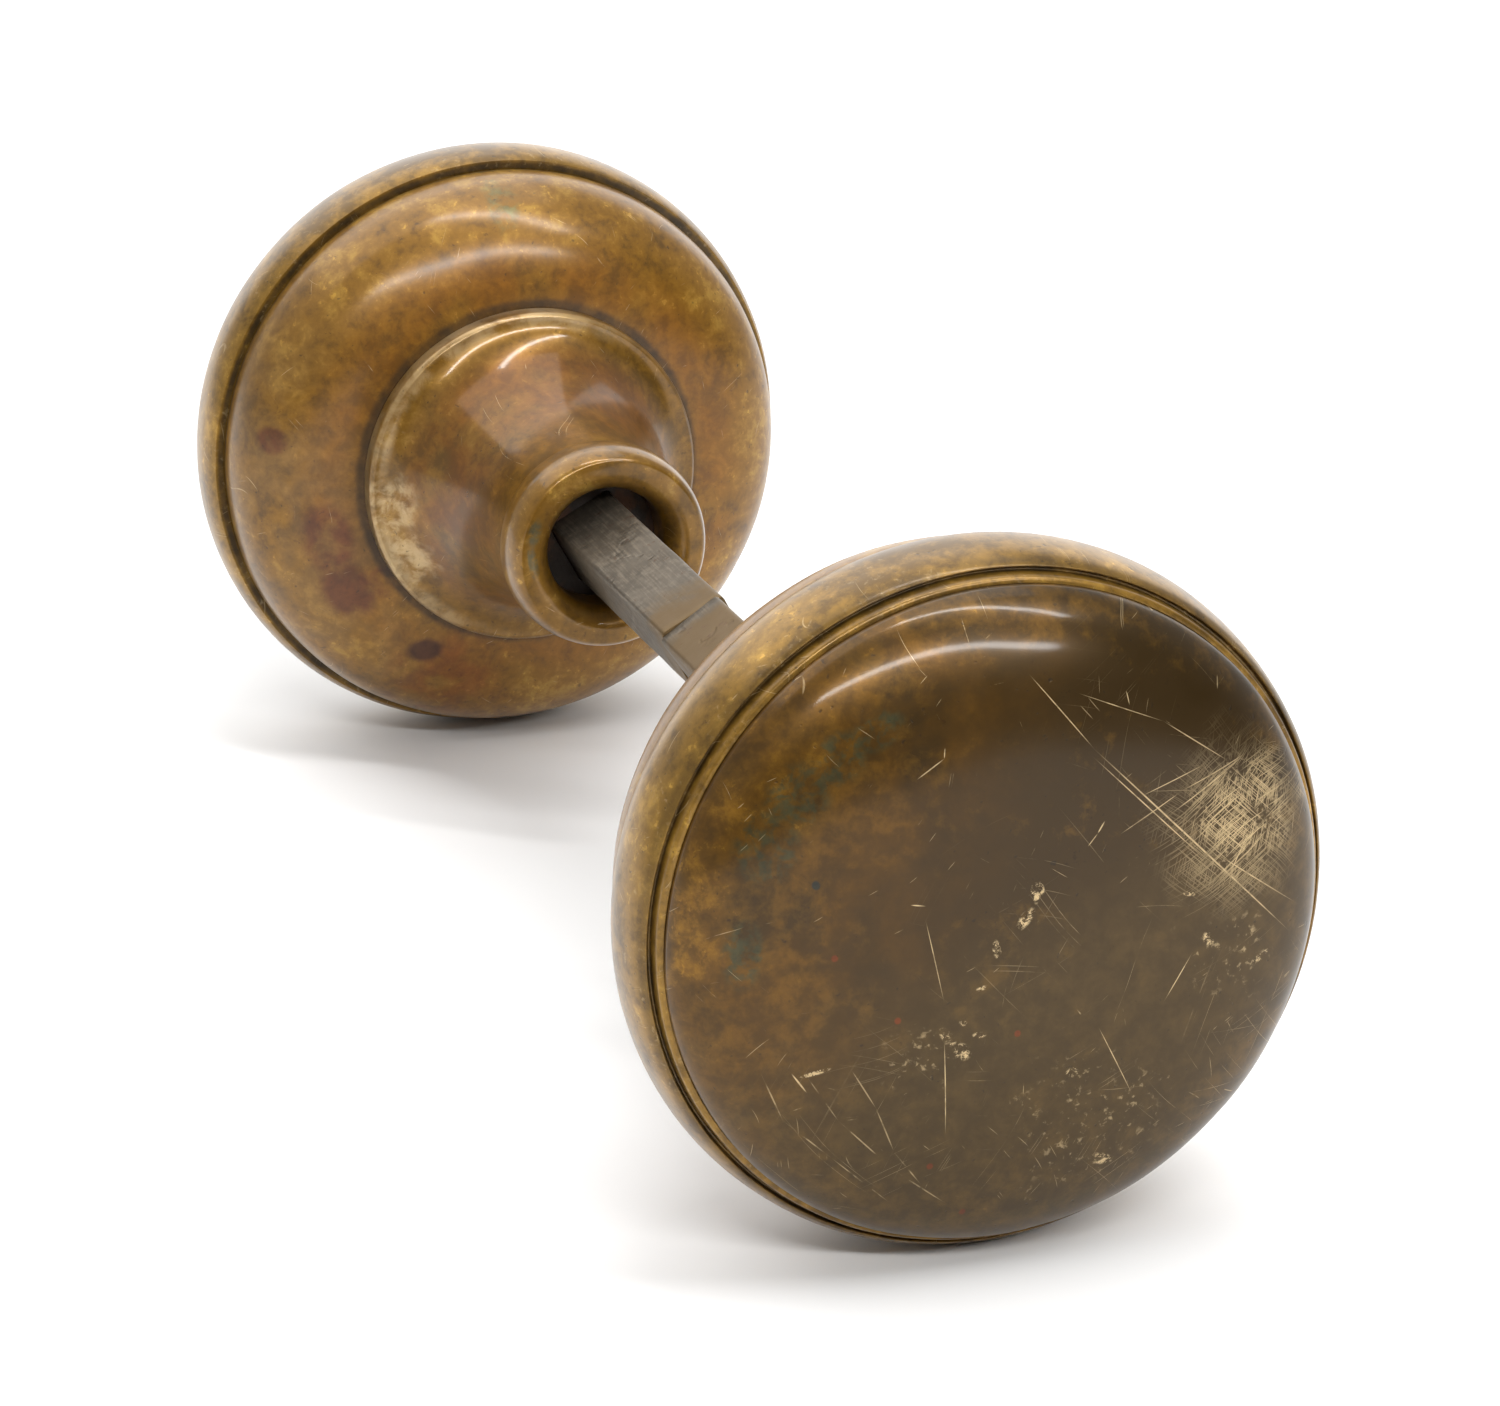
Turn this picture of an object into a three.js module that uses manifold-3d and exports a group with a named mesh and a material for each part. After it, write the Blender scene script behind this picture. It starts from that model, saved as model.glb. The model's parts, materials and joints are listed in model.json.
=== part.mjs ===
// A pair of old brass door knobs on a swivel spindle.
// Millimetres. X runs along the spindle towards the outside knob's face, +Z is up, and the origin is on
// the spindle's axis, midway between the knobs. The set lies on its two rims.

import * as THREE from 'three';
import { mergeVertices } from 'three/addons/utils/BufferGeometryUtils.js';
import Module from 'manifold-3d';

const wasm = await Module();
wasm.setup();

// ---- driving dimensions ----
const KNOB_RADIUS = 28.575; // 2 1/4 in knob
const SHEET = 1.0; // drawn brass and pressed steel sheet
const GAP = 0.3; // between pieces that touch on the real knob
const ROUND_SEGMENTS = 36;

// stations along the axis, as distances from the middle of the set
const LIP_END = 25.4; // end of the shank, against the rose
const CORE_FRONT = 30.6; // front of the square core, behind the shank's mouth
const FLARE_END = 49.7; // front edge of the shank's collar
const COLLAR_SEAT = 51.4; // the collar's back, against the back shell
const RIM_BACK = 62.0; // back seam of the rim
const RIM_MIDDLE = 65.1; // the rim's widest ring
const RIM_FRONT = 69.6; // front of the rim's round bead
const DOME_BASE = 69.9; // where the dome's curve starts
const FACE_TOP = 77.26; // middle of the domed face

// face
const DOME_RADIUS = 26.65;
const DOME_EDGE_RADIUS = 26.2; // where the dome dips under the bezel
const DOME_FLATNESS = 2.3; // exponents of the dome's superellipse
const DOME_SHOULDER = 2.4;
const FACE_FLANGE = 67.9; // front of the flange that the bezel holds down
const FLANGE_RADIUS = 26.7;

// stiffener cup behind the face
const CUP_HEIGHT = 6.6;
const CUP_WEB_RADIUS = 17.0;
const CUP_EYE_RADIUS = 4.5;
const CUP_SLOPE = 6.0; // how far the cup's wall leans out

// bezel
const BEAD_FOOT_RADIUS = 27.2; // the bead is half an ellipse, on this radius
const BEAD_BACK_LENGTH = 3.6; // of the whole half of the ellipse; the rim's back edge cuts it short
const BEAD_BACK_TURN = 59.5; // degrees of the ellipse, from the rim's widest ring back
const BEAD_FRONT_TURN = 77;
const CREASE_STATION = 69.0; // bottom of the crease between the bead and the lip
const CREASE_RADIUS = 27.25;
const BEZEL_LIP_RADIUS = 26.5;
const BEZEL_LIP_TOP = 70.4;

// back shell
const BACK_SHOULDER_RADIUS = 27.1;
const BACK_SHOULDER = 61.7;
const BACK_FLATNESS = 2.6; // exponent of the section's curve

// shank
const BORE_RADIUS = 6.3; // takes the square core
const MOUTH_RADIUS = 5.6;
const MOUTH_EASE = 2.2; // how far in the mouth is eased open
const LIP_FLAT_INNER = 7.6; // the flat end that turns against the rose
const LIP_FLAT_OUTER = 8.5;
const LIP_RADIUS = 9.5;
const LIP_MIDDLE = 28.2;
const NECK_RADIUS = 8.1;
const NECK_START = 31.6;
const FLARE_RADIUS = 15.6;
const FLARE_CURVE = 1.85; // exponent of the neck's trumpet curve
const COLLAR_RADIUS = 16.1;
const TAIL_RADIUS = 11.0; // passes through the back shell and washer
const TAIL_HEAD_RADIUS = 12.6; // spun over inside
const TAIL_END = 55.4;
const WASHER_RADIUS = 14.0;

// spindle
const ACROSS_FLATS = 6.35; // 1/4 in square bar
const BAR_CHAMFER = 0.45;
const SPINDLE_END = 50.8; // 4 in overall
const SWIVEL_FACE = 2.0; // where the two halves meet
const OUTSIDE_TURN = 125; // degrees, the direction of a flat of the outside half
const INSIDE_TURN = 118.5; // the same for the inside half
const HUB_END = 22.0; // the stretch of bar that the lock's hubs and roses take

// swivel
const STUD_RADIUS = 1.85;
const STUD_BORE_RADIUS = 2.15;
const STUD_INNER_END = -16.5;
const STUD_OUTER_END = 16.5;
const STUD_GROOVE_RADIUS = 1.1;
const GROOVE_PIN_X = -12.9;
const LOCK_PIN_X = 12.5;
const PIN_RADIUS = 0.9;
const PIN_TOP = 3.1; // both pins end just under the bar's flat
const GROOVE_PIN_FOOT = 1.45;
const THROUGH = 5; // a height outside the bar, for cuts

// set screw
const SCREW_RADIUS = 2.1; // No. 8 screw
const SCREW_STATION = 38.0;
const SCREW_TOP = 8.8;
const SLOT_WIDTH = 0.8;
const SLOT_DEPTH = 1.0;

const rad = THREE.MathUtils.degToRad;

// ---- solids ----

function toSolid(geometry) {
  const bare = geometry.index ? geometry.toNonIndexed() : geometry.clone();
  bare.deleteAttribute('normal');
  bare.deleteAttribute('uv');
  const merged = mergeVertices(bare, 1e-4);
  return new wasm.Manifold(new wasm.Mesh({
    numProp: 3,
    vertProperties: new Float32Array(merged.attributes.position.array),
    triVerts: new Uint32Array(merged.index.array),
  }));
}

function toGeometry(solid) {
  const mesh = solid.getMesh();
  const geometry = new THREE.BufferGeometry();
  geometry.setAttribute('position', new THREE.BufferAttribute(mesh.vertProperties, 3));
  geometry.setIndex(new THREE.BufferAttribute(mesh.triVerts, 1));
  geometry.computeVertexNormals();
  return geometry;
}

// A profile of [station, radius] points turned about the X axis. It runs with the metal on its right.
// Half a step of turn puts a flat facet underneath.
function turned(profile, segments = ROUND_SEGMENTS) {
  const points = profile.map(([station, radius]) => new THREE.Vector2(radius, station));
  const geometry = new THREE.LatheGeometry(points, segments, Math.PI / segments);
  geometry.rotateZ(-Math.PI / 2);
  return geometry;
}

function ring(from, to, inner, outer, segments) {
  return turned([[from, inner], [from, outer], [to, outer], [to, inner], [from, inner]], segments);
}

function rod(from, to, radius, segments) {
  return turned([[from, 0], [from, radius], [to, radius], [to, 0]], segments);
}

// Points of a curve, from one value of t to another.
function curve(steps, t0, t1, at) {
  return Array.from({ length: steps + 1 }, (_, i) => at(t0 + (t1 - t0) * i / steps));
}

// A square bar along X with chamfered corners, one flat facing +Z before it is turned.
function squareBar(from, to, across, chamfer) {
  const half = across / 2;
  const flat = half - chamfer;
  const outline = new THREE.Shape([
    [half, -flat], [half, flat], [flat, half], [-flat, half],
    [-half, flat], [-half, -flat], [-flat, -half], [flat, -half],
  ].map(([x, y]) => new THREE.Vector2(x, y)));
  const geometry = new THREE.ExtrudeGeometry(outline, { depth: to - from, bevelEnabled: false });
  geometry.translate(0, 0, from);
  geometry.rotateY(Math.PI / 2);
  return geometry;
}

// A rod standing on the axis at one station, pointing +Z, from one height to another.
function uprightRod(station, low, high, radius, segments = 16) {
  const geometry = new THREE.CylinderGeometry(radius, radius, high - low, segments);
  geometry.rotateX(Math.PI / 2);
  geometry.translate(station, 0, (low + high) / 2);
  return geometry;
}

// ---- materials ----

const finish = (color, roughness, metalness) => () => (
  new THREE.MeshStandardMaterial({ color, roughness, metalness })
);
const faceBrass = finish(0x6b5330, 0.35, 0.9);
const rimBrass = finish(0x8a6a38, 0.4, 0.9);
const backBrass = finish(0x96713c, 0.35, 0.9);
const shankBrass = finish(0x9a7742, 0.4, 0.9);
const barSteel = finish(0x77706a, 0.5, 0.8);
const innerSteel = finish(0x55504c, 0.6, 0.7);
const castIron = finish(0x45403c, 0.7, 0.6);

// ---- knob pieces, each built on +X; turned by a flat's direction where it matters ----

function domeCurve(radius, edgeRadius, base, height, steps) {
  return curve(steps, Math.PI / 2, 0, (t) => {
    const r = edgeRadius * Math.sin(t);
    const rise = (1 - (r / radius) ** DOME_FLATNESS) ** (1 / DOME_SHOULDER);
    return [base + height * rise, r];
  });
}

function faceShell() {
  const height = FACE_TOP - DOME_BASE;
  const outer = domeCurve(DOME_RADIUS, DOME_EDGE_RADIUS, DOME_BASE, height, 9);
  const inner = domeCurve(DOME_RADIUS - SHEET, DOME_EDGE_RADIUS - SHEET, DOME_BASE - SHEET, height, 7);
  return turned([
    ...inner.reverse(),
    [FACE_FLANGE - SHEET, DOME_EDGE_RADIUS - SHEET],
    [FACE_FLANGE - SHEET, FLANGE_RADIUS],
    [FACE_FLANGE, FLANGE_RADIUS],
    [FACE_FLANGE, DOME_EDGE_RADIUS],
    ...outer,
  ]);
}

function rimBezel() {
  const bead = (t) => {
    const length = t < 0 ? BEAD_BACK_LENGTH : RIM_FRONT - RIM_MIDDLE;
    const height = KNOB_RADIUS - BEAD_FOOT_RADIUS;
    return [RIM_MIDDLE + length * Math.sin(t), BEAD_FOOT_RADIUS + height * Math.cos(t)];
  };
  const inner = FLANGE_RADIUS + GAP;
  const lipBack = FACE_FLANGE + GAP;
  const ease = 0.25; // takes the corners off the crease and the lip
  return turned([
    [RIM_BACK, inner],
    ...curve(4, -rad(BEAD_BACK_TURN), 0, bead),
    ...curve(4, 0, rad(BEAD_FRONT_TURN), bead).slice(1),
    [CREASE_STATION, CREASE_RADIUS + ease / 2],
    [CREASE_STATION, CREASE_RADIUS - ease / 2],
    [BEZEL_LIP_TOP - ease, CREASE_RADIUS - ease],
    [BEZEL_LIP_TOP, BEZEL_LIP_RADIUS + ease],
    [BEZEL_LIP_TOP - ease, BEZEL_LIP_RADIUS],
    [lipBack, BEZEL_LIP_RADIUS],
    [lipBack, inner],
    [RIM_BACK, inner],
  ]);
}

function backShell() {
  const start = COLLAR_SEAT + GAP;
  const hub = TAIL_RADIUS + GAP;
  const section = (offset, steps) => curve(steps, 0, Math.PI / 2, (t) => {
    const out = Math.sin(t) ** (2 / BACK_FLATNESS);
    const along = Math.cos(t) ** (2 / BACK_FLATNESS);
    const depth = BACK_SHOULDER - start - offset;
    return [BACK_SHOULDER - depth * along, hub + (BACK_SHOULDER_RADIUS - hub - offset) * out];
  });
  const wall = FACE_FLANGE - 2 * (SHEET + GAP);
  return turned([
    ...section(0, 8),
    [BACK_SHOULDER, FLANGE_RADIUS],
    [wall, FLANGE_RADIUS],
    [wall, FLANGE_RADIUS - SHEET],
    ...section(SHEET, 7).reverse(),
    [start, hub],
  ]);
}

// The cup's flange is held between the back shell's wall and the face's flange.
function stiffenerCup() {
  const flange = FACE_FLANGE - SHEET - GAP;
  const web = flange + CUP_HEIGHT;
  return turned([
    [web - SHEET, CUP_EYE_RADIUS],
    [web - SHEET, CUP_WEB_RADIUS - SHEET / 2],
    [flange - SHEET, CUP_WEB_RADIUS + CUP_SLOPE - SHEET / 2],
    [flange - SHEET, FLANGE_RADIUS],
    [flange, FLANGE_RADIUS],
    [flange, CUP_WEB_RADIUS + CUP_SLOPE + SHEET / 2],
    [web, CUP_WEB_RADIUS + SHEET / 2],
    [web, CUP_EYE_RADIUS],
    [web - SHEET, CUP_EYE_RADIUS],
  ]);
}

function shankBody() {
  const lip = curve(6, -Math.PI / 2, Math.PI / 3, (t) => [
    LIP_MIDDLE + (LIP_MIDDLE - LIP_END) * Math.sin(t),
    LIP_FLAT_OUTER + (LIP_RADIUS - LIP_FLAT_OUTER) * Math.cos(t),
  ]);
  const mouth = curve(4, Math.PI / 2, 0, (t) => [
    LIP_END + MOUTH_EASE * (1 - Math.cos(t)),
    LIP_FLAT_INNER - (LIP_FLAT_INNER - MOUTH_RADIUS) * Math.sin(t),
  ]);
  const flare = curve(9, 0, 1, (t) => {
    const along = Math.sin(t * Math.PI / 2);
    const rise = 1 - (1 - along ** FLARE_CURVE) ** (1 / FLARE_CURVE);
    return [NECK_START + (FLARE_END - NECK_START) * along, NECK_RADIUS + (FLARE_RADIUS - NECK_RADIUS) * rise];
  });
  return turned([
    [CORE_FRONT - GAP, MOUTH_RADIUS],
    ...mouth,
    ...lip,
    ...flare,
    [FLARE_END + COLLAR_RADIUS - FLARE_RADIUS, COLLAR_RADIUS],
    [COLLAR_SEAT, COLLAR_RADIUS],
    [COLLAR_SEAT, TAIL_RADIUS],
    [TAIL_END - SHEET, TAIL_RADIUS],
    [TAIL_END - SHEET, TAIL_HEAD_RADIUS],
    [TAIL_END, TAIL_HEAD_RADIUS],
    [TAIL_END, BORE_RADIUS],
    [CORE_FRONT - GAP, BORE_RADIUS],
    [CORE_FRONT - GAP, MOUTH_RADIUS],
  ]);
}

function screwHole() {
  return toSolid(uprightRod(SCREW_STATION, ACROSS_FLATS / 3, KNOB_RADIUS, SCREW_RADIUS + GAP));
}

function shank() {
  return toGeometry(toSolid(shankBody()).subtract(screwHole()));
}

function backingWasher() {
  const front = TAIL_END - SHEET - GAP;
  return ring(front - SHEET, front, TAIL_RADIUS + GAP, WASHER_RADIUS, 24);
}

function squareCore() {
  const bush = toSolid(rod(CORE_FRONT, TAIL_END - 2 * GAP, BORE_RADIUS - GAP, 24));
  const hole = toSolid(squareBar(LIP_END, TAIL_END + 1, ACROSS_FLATS + 2 * GAP, BAR_CHAMFER));
  return toGeometry(bush.subtract(hole).subtract(screwHole()));
}

function setScrew() {
  const body = toSolid(uprightRod(SCREW_STATION, ACROSS_FLATS / 2 + GAP, SCREW_TOP, SCREW_RADIUS));
  const slot = new THREE.BoxGeometry(SLOT_WIDTH, 3 * SCREW_RADIUS, 2 * SLOT_DEPTH);
  slot.translate(SCREW_STATION, 0, SCREW_TOP);
  return toGeometry(body.subtract(toSolid(slot)));
}

// ---- spindle ----

// One half of the spindle on +X, from its swivel face out, with the stud's bore in its inner end.
function halfSpindle(face, boreEnd) {
  const bar = (from, to) => toSolid(squareBar(from, to, ACROSS_FLATS, BAR_CHAMFER));
  const half = bar(face, HUB_END).add(bar(HUB_END, SPINDLE_END));
  return half.subtract(toSolid(rod(face - 1, boreEnd, STUD_BORE_RADIUS, 20)));
}

function outsideHalf() {
  const boreEnd = STUD_OUTER_END + GAP;
  const pinHole = toSolid(uprightRod(LOCK_PIN_X, -THROUGH, THROUGH, PIN_RADIUS + GAP, 12));
  return toGeometry(halfSpindle(SWIVEL_FACE + GAP / 2, boreEnd).subtract(pinHole));
}

function insideHalf() {
  const boreEnd = GAP - STUD_INNER_END;
  const pinHole = toSolid(uprightRod(-GROOVE_PIN_X, 0, THROUGH, PIN_RADIUS + GAP, 12));
  return toGeometry(halfSpindle(GAP / 2 - SWIVEL_FACE, boreEnd).subtract(pinHole));
}

function swivelStud() {
  const grooveHalf = PIN_RADIUS + GAP;
  const body = toSolid(turned([
    [STUD_INNER_END, 0],
    [STUD_INNER_END, STUD_RADIUS],
    [GROOVE_PIN_X - grooveHalf, STUD_RADIUS],
    [GROOVE_PIN_X - grooveHalf, STUD_GROOVE_RADIUS],
    [GROOVE_PIN_X + grooveHalf, STUD_GROOVE_RADIUS],
    [GROOVE_PIN_X + grooveHalf, STUD_RADIUS],
    [STUD_OUTER_END, STUD_RADIUS],
    [STUD_OUTER_END, 0],
  ], 20));
  return toGeometry(body.subtract(toSolid(uprightRod(LOCK_PIN_X, -THROUGH, THROUGH, PIN_RADIUS + GAP, 12))));
}

// ---- assembly ----

const set = new THREE.Group();

function place(parent, name, geometry, material) {
  const mesh = new THREE.Mesh(geometry, material);
  mesh.name = name;
  parent.add(mesh);
}

// A group whose +Z is turned to face a flat, at the given angle from +Y towards +Z.
// The mirrored side is the same knob turned end for end.
function sideGroup(flatDegrees, endForEnd) {
  const side = new THREE.Group();
  side.rotation.x = rad(flatDegrees - 90);
  const facing = new THREE.Group();
  facing.rotation.z = endForEnd ? Math.PI : 0;
  side.add(facing);
  set.add(side);
  return facing;
}

function addKnob(side, prefix) {
  place(side.round, `${prefix}_face_shell`, faceShell(), faceBrass());
  place(side.round, `${prefix}_rim_bezel`, rimBezel(), rimBrass());
  place(side.round, `${prefix}_back_shell`, backShell(), backBrass());
  place(side.round, `${prefix}_stiffener_cup`, stiffenerCup(), innerSteel());
  place(side.round, `${prefix}_backing_washer`, backingWasher(), innerSteel());
  place(side.screw, `${prefix}_shank`, shank(), shankBrass());
  place(side.screw, `${prefix}_square_core`, squareCore(), castIron());
  place(side.screw, `${prefix}_set_screw`, setScrew(), barSteel());
}

const OPPOSITE = 180; // the set screws bear on the flats that face away and down
for (const [prefix, turn, endForEnd] of [['outside', OUTSIDE_TURN, false], ['inside', INSIDE_TURN, true]]) {
  const side = { round: sideGroup(90, endForEnd), screw: sideGroup(turn + OPPOSITE, endForEnd) };
  addKnob(side, prefix);
}

const outside = sideGroup(OUTSIDE_TURN, false);
place(outside, 'outside_half_spindle', outsideHalf(), barSteel());
place(outside, 'swivel_stud', swivelStud(), innerSteel());
place(outside, 'stud_lock_pin', uprightRod(LOCK_PIN_X, -PIN_TOP, PIN_TOP, PIN_RADIUS, 12), innerSteel());

const inside = sideGroup(INSIDE_TURN, true);
place(inside, 'inside_half_spindle', insideHalf(), barSteel());
const groovePin = uprightRod(-GROOVE_PIN_X, GROOVE_PIN_FOOT, PIN_TOP, PIN_RADIUS, 12);
place(inside, 'swivel_groove_pin', groovePin, innerSteel());

export default set;
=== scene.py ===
# Looks of an old pair of brass door knobs on a swivel spindle: fine turned shapes, patina, wear and light.
# Shapes are given in millimetres as (station, radius): a station is the distance from the middle of the set
# along the spindle. Every knob piece is made on the outside half, and the inside one is turned end for end.

import json
import math

import bmesh
import bpy
from mathutils import Matrix, Vector, noise


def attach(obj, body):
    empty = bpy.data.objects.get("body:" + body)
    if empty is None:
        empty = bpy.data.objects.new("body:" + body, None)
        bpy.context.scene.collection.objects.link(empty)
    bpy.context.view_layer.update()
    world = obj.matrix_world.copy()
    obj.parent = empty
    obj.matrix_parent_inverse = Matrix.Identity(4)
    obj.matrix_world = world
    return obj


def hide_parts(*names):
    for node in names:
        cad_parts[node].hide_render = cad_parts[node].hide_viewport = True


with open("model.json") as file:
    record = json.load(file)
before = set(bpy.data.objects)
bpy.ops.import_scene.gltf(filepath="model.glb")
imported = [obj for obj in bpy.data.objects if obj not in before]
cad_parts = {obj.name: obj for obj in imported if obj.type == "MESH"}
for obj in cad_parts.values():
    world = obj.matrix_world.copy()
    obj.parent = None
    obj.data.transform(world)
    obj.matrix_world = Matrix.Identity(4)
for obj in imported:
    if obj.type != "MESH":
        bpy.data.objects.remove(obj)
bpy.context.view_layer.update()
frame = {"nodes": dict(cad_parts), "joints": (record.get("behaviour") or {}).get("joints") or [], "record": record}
scene = bpy.context.scene

MM = 0.001
ROUND_STEPS = 192
BRASS_SHEET = 1.0
STEEL_SHEET = 1.0
SEAM = 0.04  # what is left open between pieces that touch


# ---------------------------------------------------------------------------------------------- the frame

def reach(node):
    """First station, last station and largest radius of a CAD node, in millimetres."""
    spots = [vert.co / MM for vert in frame["nodes"][node].data.vertices]
    stations = [abs(spot.x) for spot in spots]
    return min(stations), max(stations), max(math.hypot(spot.y, spot.z) for spot in spots)


def joint_axis(name):
    """A joint's axis in the row frame."""
    return Vector(next(joint["axis"] for joint in frame["joints"] if joint["name"] == name))


def mount_axis(name):
    """The direction that a mount faces in the row frame."""
    return Vector(next(mount["axis"] for mount in frame["record"]["mounts"] if mount["name"] == name))


# ------------------------------------------------------------------------------------------ shape helpers

def curve(steps, at):
    """The points at(t) of a curve, for t from 0 to 1."""
    return [at(i / steps) for i in range(steps + 1)]


def rounded(points, steps=5):
    """An outline in which a point with a third number has its corner cut back by that much and rounded."""
    out = []
    for i, point in enumerate(points):
        here = Vector(point[:2])
        if len(point) == 2:
            out.append(here)
            continue
        before, after = Vector(points[i - 1][:2]), Vector(points[(i + 1) % len(points)][:2])
        start = here + (before - here).normalized() * point[2]
        end = here + (after - here).normalized() * point[2]
        out += curve(steps, lambda t: start * (1 - t) ** 2 + here * 2 * t * (1 - t) + end * t ** 2)
    return out


def skinned(rings):
    """A closed mesh through rings of points in millimetres. The last ring joins the first, and a ring of one
    repeated point closes the mesh there."""
    made = bmesh.new()
    rows = []
    for ring in rings:
        if len(set(map(tuple, ring))) == 1:
            rows.append([made.verts.new(Vector(ring[0]) * MM)] * len(ring))
        else:
            rows.append([made.verts.new(Vector(point) * MM) for point in ring])
    for row, following in zip(rows, rows[1:] + rows[:1]):
        for k in range(len(row)):
            corners = dict.fromkeys([row[k], row[k - 1], following[k - 1], following[k]])
            if len(corners) > 2:
                made.faces.new(corners)
    bmesh.ops.recalc_face_normals(made, faces=made.faces)
    return made


def turned(outline, steps=ROUND_STEPS):
    """A closed mesh: an outline of (station, radius) points turned about the X axis."""
    turns = [2 * math.pi * k / steps for k in range(steps)]
    return skinned([
        [(station, radius * math.cos(turn), radius * math.sin(turn)) for turn in turns]
        for station, radius in rounded(outline)
    ])


def faced(made, direction, up=(0, 0, 1)):
    """Turns a mesh about X, so that what faced up faces the direction."""
    turn = math.atan2(direction[2], direction[1]) - math.atan2(up[2], up[1])
    made.transform(Matrix.Rotation(turn, 4, "X"))
    return made


def end_for_end(made):
    made.transform(Matrix.Rotation(math.pi, 4, "Z"))
    return made


def uneven(made, amount, size):
    """Moves the surface in and out a little, in swells of that size, as drawn and worn metal is."""
    made.normal_update()
    for vert in made.verts:
        vert.co += vert.normal * noise.noise(vert.co / (size * MM)) * amount * MM
    return made


def finish(name, made, material, body):
    """Makes a piece of a mesh, smooth but for its real edges. It stands for the CAD node of its name."""
    mesh = bpy.data.meshes.new(name)
    made.to_mesh(mesh)
    made.free()
    mesh.shade_smooth()
    mesh.set_sharp_from_angle(angle=math.radians(38))
    mesh.materials.append(material)
    piece = bpy.data.objects.new("fine_" + name, mesh)
    scene.collection.objects.link(piece)
    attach(piece, body)
    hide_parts(name)
    return piece


def cut(made, *cutters):
    """A mesh with the cutters' space taken out of it."""
    def as_object(part):
        mesh = bpy.data.meshes.new("cutting")
        part.to_mesh(mesh)
        part.free()
        obj = bpy.data.objects.new("cutting", mesh)
        scene.collection.objects.link(obj)
        return obj

    blank = as_object(made)
    tools = [as_object(cutter) for cutter in cutters]
    for tool in tools:
        modifier = blank.modifiers.new("cut", "BOOLEAN")
        modifier.operation = "DIFFERENCE"
        modifier.solver = "EXACT"
        modifier.object = tool
    depsgraph = bpy.context.evaluated_depsgraph_get()
    result = bmesh.new()
    result.from_object(blank, depsgraph)
    for obj in [blank, *tools]:
        mesh = obj.data
        bpy.data.objects.remove(obj)
        bpy.data.meshes.remove(mesh)
    return result


# --------------------------------------------------------------------------------------------- materials

def srgb(red, green, blue):
    """A colour from screen values of 0 to 255."""
    return (*(((value / 255 + 0.055) / 1.055) ** 2.4 for value in (red, green, blue)), 1.0)


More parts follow.
